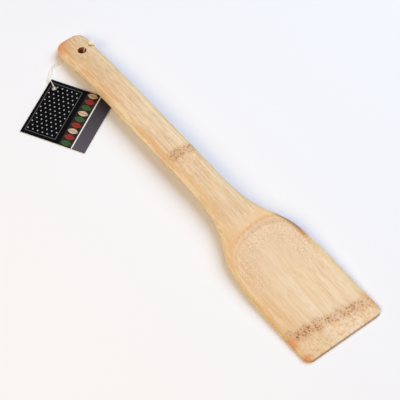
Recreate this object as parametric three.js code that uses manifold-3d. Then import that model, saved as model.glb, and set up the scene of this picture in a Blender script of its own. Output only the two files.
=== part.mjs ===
import * as THREE from 'three';
import { mergeVertices } from 'three/addons/utils/BufferGeometryUtils.js';
import Module from 'manifold-3d';

// Bamboo spatula with a card hang tag on a string. Millimetres, +Z up, +Y from the blade's tip to the
// handle's end. The table is z = 0 and the origin lies under the middle of the body.

// Body, in plan
const BODY_LENGTH = 300;
const BLADE_WIDTH = 61.4;
const TIP_CORNER_RADIUS = 3.5;
const SHOULDER_WIDTH = 59.6;
const SHOULDER_FROM_TIP = 61.5;
const NECK_WIDTH = 22.2;
const NECK_FROM_TIP = 136.5;
const HANDLE_END_WIDTH = 23.2;
const HANDLE_END_DEPTH = 8;
const HANDLE_END_SHARE = 0.985;

// Body, in side view
const TIP_THICKNESS = 2;
const HANDLE_THICKNESS = 7.2;
const FULL_THICKNESS_FROM_TIP = 140;
const EDGE_RADIUS = 2.6;
const REST_LENGTH = 14;
const BOW_HEIGHT = 5.2;
const BOW_PEAK_FROM_TIP = 155;
const HANDLE_END_ROUNDING = 3;

// Scoop sanded into the blade's upper face
const SCOOP_LENGTH = 94;
const SCOOP_HALF_WIDTH = 27.6;
const SCOOP_ARCH_HEIGHT = 30;
const SCOOP_SKEW = 0.12;
const SCOOP_DEPTH = 1.3;
const SCOOP_RAMP = 3;
const SCOOP_FADE_LENGTH = 60;

// Hanging hole through the handle
const HOLE_DIAMETER = 6;
const HOLE_FROM_END = 17;
const HOLE_FROM_MIDDLE = 1.4;
const HOLE_RIM_BEVEL = 0.5;

// Hang tag, string and knot, with places sideways and lengthwise from the hanging hole and up from the table
const STRING_DIAMETER = 0.6;
const KNOT_DIAMETER = 4.4;
const KNOT_HEIGHT = 2.2;
const KNOT_PLACE = [9, 1.4, 9.8];
const TAG_WIDTH = 48;
const TAG_HEIGHT = 48;
const TAG_THICKNESS = 0.6;
const TAG_HOLE_DIAMETER = 3.6;
const TAG_HOLE_FROM_LEFT = 5.2;
const TAG_HOLE_FROM_TOP = 6.2;
const TAG_HOLE_PLACE = [-31.6, -11, 0.9];
const TAG_TURN_DEG = -60.4;
const TAG_LOW_EDGE_HEIGHT = 0.05;

// Faceting
const HOLE_SIDES = 32;
const TOP_COLUMNS = 26;
const BOTTOM_COLUMNS = 6;
const CORNER_STEPS = 3;
const STRING_STEPS = 96;
const STRING_SIDES = 8;

const wasm = await Module();
wasm.setup();

function clamp01(value) {
  return Math.min(1, Math.max(0, value));
}

function smooth(value) {
  const t = clamp01(value);
  return t * t * (3 - 2 * t);
}

/** Smooth curve through pairs of (place, value), flat beyond both ends. */
function curveThrough(pairs) {
  const count = pairs.length;
  const rise = (i) => (pairs[i + 1][1] - pairs[i][1]) / (pairs[i + 1][0] - pairs[i][0]);
  const slopes = pairs.map((pair, i) => {
    if (i === 0) return rise(0);
    if (i === count - 1) return rise(count - 2);
    const before = rise(i - 1);
    const after = rise(i);
    return before * after <= 0 ? 0 : (2 * before * after) / (before + after);
  });
  return (place) => {
    if (place <= pairs[0][0]) return pairs[0][1];
    if (place >= pairs[count - 1][0]) return pairs[count - 1][1];
    const i = pairs.findIndex((pair, k) => k < count - 1 && place < pairs[k + 1][0]);
    const step = pairs[i + 1][0] - pairs[i][0];
    const t = (place - pairs[i][0]) / step;
    const ease = t * t * (3 - 2 * t);
    const lead = t * (1 - t) * (1 - t) * step * slopes[i];
    const trail = t * t * (t - 1) * step * slopes[i + 1];
    return pairs[i][1] + (pairs[i + 1][1] - pairs[i][1]) * ease + lead + trail;
  };
}

// Share of the shoulder's extra width that is left, from the shoulder (0) to the neck (1)
const shoulderShare = curveThrough([
  [0, 1], [0.27, 0.84], [0.44, 0.57], [0.55, 0.35], [0.65, 0.2], [0.76, 0.09], [0.87, 0.035], [1, 0],
]);

// Share of the handle's extra thickness that is reached, from the tip (0) to the full thickness (1)
const thicknessShare = curveThrough([
  [0, 0], [0.07, 0.06], [0.21, 0.25], [0.43, 0.52], [0.64, 0.79], [0.86, 0.95], [1, 1],
]);

/** Half of the body's width at a distance from the blade's tip. */
function halfWidth(fromTip) {
  const toEnd = BODY_LENGTH - fromTip;
  if (fromTip < TIP_CORNER_RADIUS) {
    const inset = TIP_CORNER_RADIUS - fromTip;
    const reach = Math.sqrt(TIP_CORNER_RADIUS ** 2 - inset ** 2);
    return BLADE_WIDTH / 2 - TIP_CORNER_RADIUS + reach;
  }
  if (fromTip <= SHOULDER_FROM_TIP) {
    const along = fromTip / SHOULDER_FROM_TIP;
    return (BLADE_WIDTH + (SHOULDER_WIDTH - BLADE_WIDTH) * along * along) / 2;
  }
  if (fromTip <= NECK_FROM_TIP) {
    const along = (fromTip - SHOULDER_FROM_TIP) / (NECK_FROM_TIP - SHOULDER_FROM_TIP);
    return (NECK_WIDTH + (SHOULDER_WIDTH - NECK_WIDTH) * shoulderShare(along)) / 2;
  }
  const handleRun = BODY_LENGTH - HANDLE_END_DEPTH - NECK_FROM_TIP;
  const along = clamp01((fromTip - NECK_FROM_TIP) / handleRun);
  const full = (NECK_WIDTH + (HANDLE_END_WIDTH - NECK_WIDTH) * along * along) / 2;
  const intoEnd = HANDLE_END_SHARE * clamp01(1 - toEnd / HANDLE_END_DEPTH);
  return full * (1 - intoEnd ** 2.4) ** (1 / 2.4);
}

/** Height of the underside above the table: flat at the tip, bowed up, down again at the handle's end. */
function underside(fromTip) {
  const lowEnd = BODY_LENGTH - HANDLE_END_ROUNDING;
  if (fromTip < BOW_PEAK_FROM_TIP) {
    return BOW_HEIGHT * smooth((fromTip - REST_LENGTH) / (BOW_PEAK_FROM_TIP - REST_LENGTH));
  }
  const along = clamp01((fromTip - BOW_PEAK_FROM_TIP) / (lowEnd - BOW_PEAK_FROM_TIP));
  return BOW_HEIGHT * (1 - along ** 3.4);
}

/** Thickness of the body without the scoop. */
function fullThickness(fromTip) {
  const share = thicknessShare(fromTip / FULL_THICKNESS_FROM_TIP);
  return TIP_THICKNESS + (HANDLE_THICKNESS - TIP_THICKNESS) * share;
}

/** How far the rounded handle end draws in the top and bottom faces. */
function endInset(fromTip) {
  const intoRounding = HANDLE_END_SHARE * clamp01(1 - (BODY_LENGTH - fromTip) / HANDLE_END_ROUNDING);
  return HANDLE_END_ROUNDING * (1 - Math.sqrt(1 - intoRounding ** 2));
}

/** Depth of the scoop below the upper face. */
function scoopDepth(x, fromTip) {
  const archFoot = SCOOP_LENGTH - SCOOP_ARCH_HEIGHT;
  const up = Math.max(0, (fromTip - archFoot - SCOOP_SKEW * x) / SCOOP_ARCH_HEIGHT);
  const across = Math.abs(x) / SCOOP_HALF_WIDTH;
  const place = (across ** 2.6 + up ** 2.6) ** (1 / 2.6);
  const ramp = SCOOP_RAMP / Math.min(SCOOP_ARCH_HEIGHT, SCOOP_HALF_WIDTH);
  return SCOOP_DEPTH * smooth((1 - place) / ramp) * smooth(fromTip / SCOOP_FADE_LENGTH);
}

/** One closed ring of the body: bottom, right edge, top, left edge. */
function bodyRing(fromTip) {
  const half = halfWidth(fromTip);
  const inset = endInset(fromTip);
  const low = underside(fromTip) + inset;
  const high = underside(fromTip) + fullThickness(fromTip) - inset;
  const radius = Math.min(EDGE_RADIUS, 0.46 * (high - low), 0.6 * half);
  const flat = half - radius;
  const y = fromTip - BODY_LENGTH / 2;
  const ring = [];
  for (let i = 0; i <= BOTTOM_COLUMNS; i += 1) {
    ring.push([-flat + (2 * flat * i) / BOTTOM_COLUMNS, y, low]);
  }
  for (let i = 1; i <= CORNER_STEPS; i += 1) {
    const turn = (Math.PI / 2) * (i / CORNER_STEPS);
    ring.push([flat + radius * Math.sin(turn), y, low + radius * (1 - Math.cos(turn))]);
  }
  for (let i = 0; i < CORNER_STEPS; i += 1) {
    const turn = (Math.PI / 2) * (i / CORNER_STEPS);
    ring.push([flat + radius * Math.cos(turn), y, high - radius * (1 - Math.sin(turn))]);
  }
  for (let i = 0; i <= TOP_COLUMNS; i += 1) {
    const x = flat - (2 * flat * i) / TOP_COLUMNS;
    ring.push([x, y, high - scoopDepth(x, fromTip)]);
  }
  for (let i = 1; i <= CORNER_STEPS; i += 1) {
    const turn = (Math.PI / 2) * (i / CORNER_STEPS);
    ring.push([-flat - radius * Math.sin(turn), y, high - radius * (1 - Math.cos(turn))]);
  }
  for (let i = 0; i < CORNER_STEPS; i += 1) {
    const turn = (Math.PI / 2) * (i / CORNER_STEPS);
    ring.push([-flat - radius * Math.cos(turn), y, low + radius * (1 - Math.sin(turn))]);
  }
  return ring;
}

/** Even steps from one place up to, but not at, the next. */
function stepsBetween(start, stop, step) {
  const count = Math.max(1, Math.round((stop - start) / step));
  return Array.from({ length: count }, (_, i) => start + ((stop - start) * i) / count);
}

/** Distances from the tip at which the body has a ring. */
function bodyStations() {
  const corner = [0, 0.15, 0.35, 0.65].map((share) => share * TIP_CORNER_RADIUS);
  const endStart = BODY_LENGTH - HANDLE_END_DEPTH;
  const roundStart = BODY_LENGTH - HANDLE_END_ROUNDING;
  const roundShares = [0, 0.3, 0.55, 0.75, 0.9, 1];
  return [
    ...corner,
    ...stepsBetween(TIP_CORNER_RADIUS, REST_LENGTH, 5),
    ...stepsBetween(REST_LENGTH, SHOULDER_FROM_TIP, 4),
    ...stepsBetween(SHOULDER_FROM_TIP, NECK_FROM_TIP, 2.5),
    ...stepsBetween(NECK_FROM_TIP, endStart, 6),
    ...stepsBetween(endStart, roundStart, 1.7),
    ...roundShares.map((share) => roundStart + share * HANDLE_END_ROUNDING),
  ];
}

/** Closed surface through a row of rings, with both end rings capped. */
function loft(rings) {
  const size = rings[0].length;
  const faces = [];
  for (let r = 0; r < rings.length - 1; r += 1) {
    for (let i = 0; i < size; i += 1) {
      const a = r * size + i;
      const b = r * size + ((i + 1) % size);
      faces.push(a, a + size, b, b, a + size, b + size);
    }
  }
  const last = (rings.length - 1) * size;
  const outlines = [rings[0], rings[rings.length - 1]];
  const caps = outlines.map((ring) => {
    const outline = ring.map(([x, , z]) => new THREE.Vector2(x, z));
    return THREE.ShapeUtils.triangulateShape(outline, []);
  });
  caps[0].forEach(([a, b, c]) => faces.push(a, b, c));
  caps[1].forEach(([a, b, c]) => faces.push(last + a, last + c, last + b));
  const geometry = new THREE.BufferGeometry();
  geometry.setAttribute('position', new THREE.Float32BufferAttribute(rings.flat(2), 3));
  geometry.setIndex(faces);
  return geometry;
}

function toManifold(geometry) {
  const bare = new THREE.BufferGeometry();
  bare.setAttribute('position', geometry.attributes.position.clone());
  if (geometry.index) bare.setIndex(geometry.index.clone());
  const merged = mergeVertices(bare, 1e-5);
  const mesh = new wasm.Mesh({
    numProp: 3,
    vertProperties: new Float32Array(merged.attributes.position.array),
    triVerts: new Uint32Array(merged.index.array),
  });
  return new wasm.Manifold(mesh);
}

function fromManifold(solid) {
  const mesh = solid.getMesh();
  const geometry = new THREE.BufferGeometry();
  geometry.setAttribute('position', new THREE.BufferAttribute(new Float32Array(mesh.vertProperties), 3));
  geometry.setIndex(new THREE.BufferAttribute(new Uint32Array(mesh.triVerts), 1));
  geometry.computeVertexNormals();
  return geometry;
}

function named(name, geometry, material) {
  const mesh = new THREE.Mesh(geometry, material);
  mesh.name = name;
  return mesh;
}

// Spatula body
const holeFromTip = BODY_LENGTH - HOLE_FROM_END;
const holeCentre = new THREE.Vector3(HOLE_FROM_MIDDLE, holeFromTip - BODY_LENGTH / 2, 0);
const holeLow = underside(holeFromTip);
const holeHigh = holeLow + fullThickness(holeFromTip);

/** Cutter for the hanging hole, flared at both rims. */
function holeCutter() {
  const radius = HOLE_DIAMETER / 2;
  const past = HANDLE_THICKNESS / 2;
  const flare = radius + HOLE_RIM_BEVEL + past;
  const profile = [
    [0, holeLow - past],
    [flare, holeLow - past],
    [radius, holeLow + HOLE_RIM_BEVEL],
    [radius, holeHigh - HOLE_RIM_BEVEL],
    [flare, holeHigh + past],
    [0, holeHigh + past],
  ].map(([r, z]) => new THREE.Vector2(r, z));
  const cutter = new THREE.LatheGeometry(profile, HOLE_SIDES);
  cutter.rotateX(Math.PI / 2);
  cutter.translate(holeCentre.x, holeCentre.y, 0);
  return cutter;
}

function spatulaBody() {
  const blank = toManifold(loft(bodyStations().map(bodyRing)));
  return fromManifold(blank.subtract(toManifold(holeCutter())));
}

// String: route of its centre line, from the knot down the hanging hole, out to the tag, through the tag's
// hole and back under the handle to the knot. Places as above.
const STRING_ROUTE = [
  [6.45, 1.2, 9.5], [5.2, 0.95, 9.15], [3.8, 0.6, 9.08], [2.6, 0.3, 8.85],
  [1.9, 0.1, 8], [1.6, 0, 6.4], [0.9, -0.1, 3.2], [-0.4, 0, 1.45],
  [-2.4, 0.6, 0.62], [-5.9, 2.2, 0.45], [-9.4, 4, 0.42], [-12.9, 5.3, 0.42],
  [-17.9, 5.7, 0.42], [-21.9, 4.5, 0.42], [-24.6, 2.3, 0.42], [-27.4, -0.7, 0.75],
  [-29, -2.6, 1.75], [-30, -4.4, 2.12], [-30.7, -7.6, 2.05], [-31.15, -9.7, 1.95],
  [-31.4, -10.7, 1.2], [-31.8, -11.3, 0.6], [-32.6, -11.1, 0.42], [-33.4, -9.5, 0.42],
  [-33, -6, 0.42], [-31, -1.8, 0.42], [-27.6, 2, 0.42], [-23.4, 5.3, 0.42],
  [-18.4, 7.1, 0.42], [-12.9, 6.8, 0.42], [-8.9, 5.6, 0.42], [-1.4, 3.9, 0.42],
  [4.6, 3, 0.45], [8.4, 2.6, 0.75], [10.45, 2.3, 2.4], [10.75, 2, 4.5],
  [10.65, 1.8, 6.8], [10.55, 1.6, 8.45],
];

function fromHole([x, y, z]) {
  return new THREE.Vector3(holeCentre.x + x, holeCentre.y + y, z);
}

function stringTube() {
  const points = STRING_ROUTE.map(fromHole);
  const path = new THREE.CatmullRomCurve3(points, false, 'centripetal');
  const section = new THREE.Shape();
  const radius = STRING_DIAMETER / 2;
  for (let i = 0; i < STRING_SIDES; i += 1) {
    const turn = (2 * Math.PI * i) / STRING_SIDES;
    const move = i === 0 ? 'moveTo' : 'lineTo';
    section[move](radius * Math.cos(turn), radius * Math.sin(turn));
  }
  section.closePath();
  return new THREE.ExtrudeGeometry(section, { steps: STRING_STEPS, extrudePath: path });
}

// Knot on the handle's edge, where the string's two ends meet
function stringKnot() {
  const knot = new THREE.IcosahedronGeometry(0.5, 2);
  knot.scale(KNOT_DIAMETER, KNOT_DIAMETER, KNOT_HEIGHT);
  knot.translate(...fromHole(KNOT_PLACE));
  return knot;
}

/** Card drawn with its string hole on the origin, then leant on the string below it and turned in place. */
function hangTag() {
  const left = -TAG_HOLE_FROM_LEFT;
  const low = TAG_HOLE_FROM_TOP - TAG_HEIGHT;
  const outline = new THREE.Shape();
  outline.moveTo(left, low);
  outline.lineTo(left + TAG_WIDTH, low);
  outline.lineTo(left + TAG_WIDTH, TAG_HOLE_FROM_TOP);
  outline.lineTo(left, TAG_HOLE_FROM_TOP);
  outline.closePath();
  const hole = new THREE.Path();
  hole.absarc(0, 0, TAG_HOLE_DIAMETER / 2, 0, 2 * Math.PI, true);
  outline.holes.push(hole);
  const card = new THREE.ExtrudeGeometry(outline, {
    depth: TAG_THICKNESS,
    bevelEnabled: false,
    curveSegments: 10,
  });
  const place = fromHole(TAG_HOLE_PLACE);
  card.rotateX(Math.asin((place.z - TAG_LOW_EDGE_HEIGHT) / -low));
  card.rotateZ(THREE.MathUtils.degToRad(TAG_TURN_DEG));
  card.translate(...place);
  return card;
}

const bamboo = new THREE.MeshStandardMaterial({ color: 0xdfbf93, roughness: 0.6 });
const card = new THREE.MeshStandardMaterial({ color: 0x2b2a2a, roughness: 0.5 });
const cotton = new THREE.MeshStandardMaterial({ color: 0xefe3cb, roughness: 0.9 });

const part = new THREE.Group();
part.add(named('spatula_body', spatulaBody(), bamboo));
part.add(named('hang_tag', hangTag(), card));
part.add(named('tag_string', stringTube(), cotton));
part.add(named('string_knot', stringKnot(), cotton));

export default part;
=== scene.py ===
import math

import bpy
import numpy as np
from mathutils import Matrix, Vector


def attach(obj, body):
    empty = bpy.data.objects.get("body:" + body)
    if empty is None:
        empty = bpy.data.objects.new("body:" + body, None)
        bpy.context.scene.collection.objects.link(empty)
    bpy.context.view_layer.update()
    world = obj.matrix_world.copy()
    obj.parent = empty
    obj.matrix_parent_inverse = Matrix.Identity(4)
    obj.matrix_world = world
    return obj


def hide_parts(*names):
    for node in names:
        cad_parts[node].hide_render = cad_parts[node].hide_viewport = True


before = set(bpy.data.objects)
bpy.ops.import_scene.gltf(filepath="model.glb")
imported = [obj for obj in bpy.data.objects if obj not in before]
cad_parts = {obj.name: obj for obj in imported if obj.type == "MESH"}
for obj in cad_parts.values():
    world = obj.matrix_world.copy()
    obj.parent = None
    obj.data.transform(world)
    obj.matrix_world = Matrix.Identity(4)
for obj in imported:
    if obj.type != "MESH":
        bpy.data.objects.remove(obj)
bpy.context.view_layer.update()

MM = 0.001


# Camera, at the photograph's angle

CAMERA_AZIMUTH = math.radians(-37.6)
CAMERA_ELEVATION = math.radians(54.95)
CAMERA_DISTANCE = 0.9809
CAMERA_TARGET = Vector((-0.0075, -0.0129, 0.0))
SENSOR_WIDTH = 36.0
FOCAL_LENGTH_PX = 1502.0
PICTURE_PX = 400.0
CLIP_START = 0.01
CLIP_END = 20.0


def towards(azimuth, elevation):
    """Unit vector from the object out to a viewer or lamp at that azimuth and elevation."""
    return Vector((
        math.sin(azimuth) * math.cos(elevation),
        -math.cos(azimuth) * math.cos(elevation),
        math.sin(elevation),
    ))


def add_camera():
    """Camera at the photograph's angle, its lens worked out from the focal length in pixels."""
    lens = bpy.data.cameras.new("photo_camera")
    lens.sensor_width = SENSOR_WIDTH
    lens.lens = SENSOR_WIDTH * FOCAL_LENGTH_PX / PICTURE_PX
    lens.clip_start = CLIP_START
    lens.clip_end = CLIP_END
    camera = bpy.data.objects.new("photo_camera", lens)
    bpy.context.scene.collection.objects.link(camera)
    back = towards(CAMERA_AZIMUTH, CAMERA_ELEVATION)
    camera.location = CAMERA_TARGET + back * CAMERA_DISTANCE
    camera.rotation_mode = "QUATERNION"
    camera.rotation_quaternion = (-back).to_track_quat("-Z", "Y")
    bpy.context.scene.camera = camera


# Shader maths: values and finishes

# Sockets of a Mix node for colours, by number, because other sockets have the same names
MIX_SHARE, MIX_FIRST, MIX_SECOND, MIX_RESULT = 0, 6, 7, 2


def srgb(red, green, blue):
    """Linear colour of an 8-bit screen colour."""
    share = np.array([red, green, blue], float) / 255
    linear = np.where(share <= 0.04045, share / 12.92, ((share + 0.055) / 1.055) ** 2.4)
    return (*linear.tolist(), 1.0)


class Value:
    """One output socket of a finish; arithmetic on it adds Math nodes."""

    def __init__(self, finish, socket):
        self.finish = finish
        self.socket = socket

    def apply(self, operation, *values):
        """Adds a Math node on those values."""
        sockets = dict(enumerate(values))
        return self.finish.node("ShaderNodeMath", {"operation": operation}, sockets)

    def __add__(self, other):
        return self.apply("ADD", self, other)

    __radd__ = __add__

    def __sub__(self, other):
        return self.apply("SUBTRACT", self, other)

    def __rsub__(self, other):
        return self.apply("SUBTRACT", other, self)

    def __mul__(self, other):
        return self.apply("MULTIPLY", self, other)

    __rmul__ = __mul__

    def __truediv__(self, other):
        return self.apply("DIVIDE", self, other)

    def __mod__(self, other):
        return self.apply("FLOORED_MODULO", self, other)

    def __abs__(self):
        return self.apply("ABSOLUTE", self)

    def floor(self):
        return self.apply("FLOOR", self)

    def step(self, low, high):
        """Smooth change from 0 at low to 1 at high, level beyond them; low may be the larger."""
        return self.finish.node(
            "ShaderNodeMapRange",
            {"interpolation_type": "SMOOTHSTEP"},
            {"Value": self, "From Min": low, "From Max": high},
        )


class Finish:
    """A material being mixed: node() adds any node to it."""

    def __init__(self, name):
        self.material = bpy.data.materials.new(name)
        self.material.use_nodes = True
        self.tree = self.material.node_tree
        self.tree.nodes.clear()

    def node(self, kind, settings=None, sockets=None, output=0):
        """Adds a node of that type with its settings and its sockets' values or links; gives one output."""
        made = self.tree.nodes.new(kind)
        for name, setting in (settings or {}).items():
            setattr(made, name, setting)
        for name, value in (sockets or {}).items():
            if isinstance(value, Value):
                self.tree.links.new(value.socket, made.inputs[name])
            else:
                made.inputs[name].default_value = value
        return None if output is None else Value(self, made.outputs[output])

    def parts(self, vector):
        """The three numbers of a vector."""
        split = self.node("ShaderNodeSeparateXYZ", None, {0: vector})
        outputs = split.socket.node.outputs
        return [Value(self, outputs[axis]) for axis in range(3)]

    def place(self):
        """Object coordinates in millimetres."""
        here = self.node("ShaderNodeTexCoord", None, None, "Object")
        return [axis * (1 / MM) for axis in self.parts(here)]

    def attribute(self, name):
        """The three numbers of a vector that the mesh carries."""
        return self.parts(self.node("ShaderNodeAttribute", {"attribute_name": name}, None, "Vector"))

    def scaled(self, place, scale):
        """A vector of three numbers, each times its own factor."""
        sockets = {axis: number * factor for axis, (number, factor) in enumerate(zip(place, scale))}
        return self.node("ShaderNodeCombineXYZ", None, sockets)

    def noise(self, place, scale, detail, roughness):
        """Smooth noise, from 0 to 1."""
        vector = self.scaled(place, scale)
        sockets = {"Vector": vector, "Scale": 1.0, "Detail": detail, "Roughness": roughness}
        return self.node("ShaderNodeTexNoise", None, sockets, "Fac")

    def cells(self, place, scale, output="Distance"):
        """Distance to the nearest of scattered points, or a colour for each."""
        sockets = {"Vector": self.scaled(place, scale), "Scale": 1.0}
        return self.node("ShaderNodeTexVoronoi", None, sockets, output)

    def mix(self, share, first, second):
        """Goes from the first colour to the second by that share."""
        sockets = {MIX_SHARE: share, MIX_FIRST: first, MIX_SECOND: second}
        return self.node("ShaderNodeMix", {"data_type": "RGBA"}, sockets, MIX_RESULT)

    def tint(self, colour, value, tint, within=1.0):
        """Mixes in a tint, which is a colour, a strength, and the span of a value over which it comes in,
        from none to all."""
        hue, strength, span = tint
        return self.mix(within * value.step(*span) * strength, colour, hue)

    def bump(self, height, strength, distance):
        sockets = {"Height": height, "Strength": strength, "Distance": distance}
        return self.node("ShaderNodeBump", None, sockets, "Normal")

    def surface(self, **sockets):
        """Ends the material in a Principled shader with those sockets."""
        named = {name.replace("_", " "): value for name, value in sockets.items()}
        shader = self.node("ShaderNodeBsdfPrincipled", None, named, "BSDF")
        self.node("ShaderNodeOutputMaterial", None, {"Surface": shader}, None)
        return self.material


# Meshes

def add_piece(name, points, faces, material, body, node, slot, **attributes):
    """Makes a smooth-shaded object at the origin from arrays in millimetres."""
    mesh = bpy.data.meshes.new(name)
    mesh.from_pydata((points * MM).tolist(), [], faces)
    for title, values in attributes.items():
        layer = mesh.attributes.new(title, "FLOAT_VECTOR", "POINT")
        layer.data.foreach_set("vector", np.asarray(values, np.float32).ravel())
    mesh.materials.append(material)
    mesh.polygons.foreach_set("use_smooth", np.ones(len(mesh.polygons), bool))
    mesh.validate()
    piece = bpy.data.objects.new(name, mesh)
    bpy.context.scene.collection.objects.link(piece)
    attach(piece, body)
    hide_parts(node)
    return piece


def ring_faces(rings, count, start=0, closed=False):
    """Quads between neighbouring rings of equal count; the last ring is joined to the first if closed."""
    rows = np.arange(rings if closed else rings - 1)[:, None]
    here = np.arange(count)[None, :]
    after = (here + 1) % count
    below = ((rows + 1) % rings) * count
    quads = np.stack([rows * count + here, below + here, below + after, rows * count + after], -1)
    return quads.reshape(-1, 4) + start


def smooth_step(share):
    """Smooth rise from 0 to 1: three squares less two cubes of the share."""
    share = np.clip(share, 0, 1)
    return share * share * (3 - 2 * share)


def curve_through(pairs):
    """Cubic with harmonic slopes through (place, value) pairs, level beyond both ends."""
    place, value = np.array(pairs, float).T
    rise = np.diff(value) / np.diff(place)
    inner = 2 * rise[:-1] * rise[1:] / (rise[:-1] + rise[1:])
    slope = np.concatenate([rise[:1], inner, rise[-1:]])

    def at(where):
        where = np.clip(where, place[0], place[-1])
        i = np.clip(np.searchsorted(place, where, side="right") - 1, 0, len(rise) - 1)
        step = place[i + 1] - place[i]
        t = (where - place[i]) / step
        lead = t * (1 - t) ** 2 * step * slope[i]
        trail = t * t * (t - 1) * step * slope[i + 1]
        return value[i] + (value[i + 1] - value[i]) * smooth_step(t) + lead + trail

    return at


# Spatula body, millimetres from the blade's tip

BODY_LENGTH = 300.0
BLADE_WIDTH = 61.4
TIP_CORNER_RADIUS = 5.0
TIP_ROUNDING = 0.5
SHOULDER_WIDTH = 59.6
SHOULDER_FROM_TIP = 61.5
NECK_WIDTH = 22.2
NECK_FROM_TIP = 136.5
HANDLE_END_WIDTH = 23.2
HANDLE_END_DEPTH = 8.0
HANDLE_END_SHARE = 0.985
HANDLE_END_ROUNDING = 3.0
HANDLE_END_POWER = 2.4
TIP_THICKNESS = 2.0
HANDLE_THICKNESS = 7.2
FULL_THICKNESS_FROM_TIP = 140.0
EDGE_RADIUS = 2.6
REST_LENGTH = 14.0
BOW_HEIGHT = 5.2
BOW_PEAK_FROM_TIP = 155.0
BOW_POWER = 3.4
SCOOP_LENGTH = 94.0
SCOOP_HALF_WIDTH = 27.6
SCOOP_ARCH_HEIGHT = 30.0
SCOOP_SKEW = 0.12
SCOOP_POWER = 2.6
SCOOP_DEPTH = 1.3
SCOOP_RAMP = 3.0
SCOOP_FADE_LENGTH = 60.0
HOLE_RADIUS = 3.0
HOLE_FROM_TIP = BODY_LENGTH - 17.0
HOLE_FROM_MIDDLE = 1.4
HOLE_RIM = 0.45
TIP_STEPS = 15
SCOOP_ARCH_START = 56.0
SCOOP_ARCH_STOP = 98.0
HANDLE_END_STEPS = 27
COLUMNS = 80
CORNER_STEPS = 8
HOLE_PATCH = 4.6
HOLE_RIM_STEPS = 5
PATCH_SHARES = (0.35, 0.7)
WALL_SHARES = (0.2, 0.4, 0.6, 0.8)
EDGE_OF_THICKNESS = 0.46
EDGE_OF_HALF_WIDTH = 0.6
EDGE_TINT_WIDTH = 4.2
SCOOP_FROM_UNDERSIDE = 0.4
FAR_FROM_SCOOP = 2.0
HOLE_MARGIN = 0.1
HOLE_SCORCH = 2.0
HANDLE_NODE = 168.4
BLADE_NODE = 15.8
HOLE_CENTRE = np.array([HOLE_FROM_MIDDLE, HOLE_FROM_TIP - BODY_LENGTH / 2, 0.0])

# Browned spots: place across, place from the tip, reach across, reach along, strength
SCORCH_SPOTS = [
    (-30, 2.5, 5, 4, 0.95), (-30.5, 16, 4.5, 6, 0.85), (-30.5, 33, 3, 8, 0.4),
    (30.5, 8, 4.5, 6, 0.5), (28.5, 16.5, 4, 4, 0.35), (-9, 293.5, 6, 8, 0.7), (-11.5, 175, 3, 16, 0.4),
    (-9, 237, 3.5, 11, 0.4), (-9, 264, 3.5, 9, 0.35), (-1, 298, 9, 3.5, 0.4), (26.5, 73.5, 3, 3.5, 0.55),
]

shoulder_share = curve_through([
    (0, 1), (0.27, 0.84), (0.44, 0.57), (0.55, 0.35), (0.65, 0.2), (0.76, 0.09), (0.87, 0.035), (1, 0),
])
thickness_share = curve_through([
    (0, 0), (0.07, 0.06), (0.21, 0.25), (0.43, 0.52), (0.64, 0.79), (0.86, 0.95), (1, 1),
])


def half_width(tip):
    """Half width: a blade with round corners, a shoulder curve, a near-straight handle, a blunt oval end."""
    corner = np.clip(TIP_CORNER_RADIUS - tip, 0, TIP_CORNER_RADIUS)
    corner_inset = TIP_CORNER_RADIUS - np.sqrt(TIP_CORNER_RADIUS**2 - corner**2)
    along = np.clip(tip / SHOULDER_FROM_TIP, 0, 1)
    blade = BLADE_WIDTH + (SHOULDER_WIDTH - BLADE_WIDTH) * along**2
    along = (tip - SHOULDER_FROM_TIP) / (NECK_FROM_TIP - SHOULDER_FROM_TIP)
    shoulder = NECK_WIDTH + (SHOULDER_WIDTH - NECK_WIDTH) * shoulder_share(along)
    run = BODY_LENGTH - HANDLE_END_DEPTH - NECK_FROM_TIP
    along = np.clip((tip - NECK_FROM_TIP) / run, 0, 1)
    handle = NECK_WIDTH + (HANDLE_END_WIDTH - NECK_WIDTH) * along**2
    into = HANDLE_END_SHARE * np.clip(1 - (BODY_LENGTH - tip) / HANDLE_END_DEPTH, 0, 1)
    handle = handle * (1 - into**HANDLE_END_POWER) ** (1 / HANDLE_END_POWER)
    width = np.where(tip <= SHOULDER_FROM_TIP, blade, np.where(tip <= NECK_FROM_TIP, shoulder, handle))
    return width / 2 - corner_inset


def underside(tip):
    """Height of the underside: level at the tip, a smooth rise to the bow's peak, a power curve down."""
    rise = smooth_step((tip - REST_LENGTH) / (BOW_PEAK_FROM_TIP - REST_LENGTH))
    low_end = BODY_LENGTH - HANDLE_END_ROUNDING
    along = np.clip((tip - BOW_PEAK_FROM_TIP) / (low_end - BOW_PEAK_FROM_TIP), 0, 1)
    return BOW_HEIGHT * np.where(tip < BOW_PEAK_FROM_TIP, rise, 1 - along**BOW_POWER)


def full_thickness(tip):
    """Thickness before the scoop is cut: a curve from the thin tip up to the handle's."""
    share = thickness_share(tip / FULL_THICKNESS_FROM_TIP)
    return TIP_THICKNESS + (HANDLE_THICKNESS - TIP_THICKNESS) * share


def end_inset(tip):
    """How far the rounded ends draw in the top and bottom faces."""
    into = HANDLE_END_SHARE * np.clip(1 - (BODY_LENGTH - tip) / HANDLE_END_ROUNDING, 0, 1)
    handle = HANDLE_END_ROUNDING * (1 - np.sqrt(1 - into**2))
    into = np.clip(1 - tip / TIP_ROUNDING, 0, 1)
    return handle + TIP_ROUNDING * (1 - np.sqrt(1 - (HANDLE_END_SHARE * into) ** 2))


def scoop_place(x, tip):
    """1 on the scoop's arched rim, less inside it: a rounded box whose arch leans to the right."""
    foot = SCOOP_LENGTH - SCOOP_ARCH_HEIGHT
    up = np.clip((tip - foot - SCOOP_SKEW * x) / SCOOP_ARCH_HEIGHT, 0, None)
    across = np.abs(x) / SCOOP_HALF_WIDTH
    return (across**SCOOP_POWER + up**SCOOP_POWER) ** (1 / SCOOP_POWER)


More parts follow.
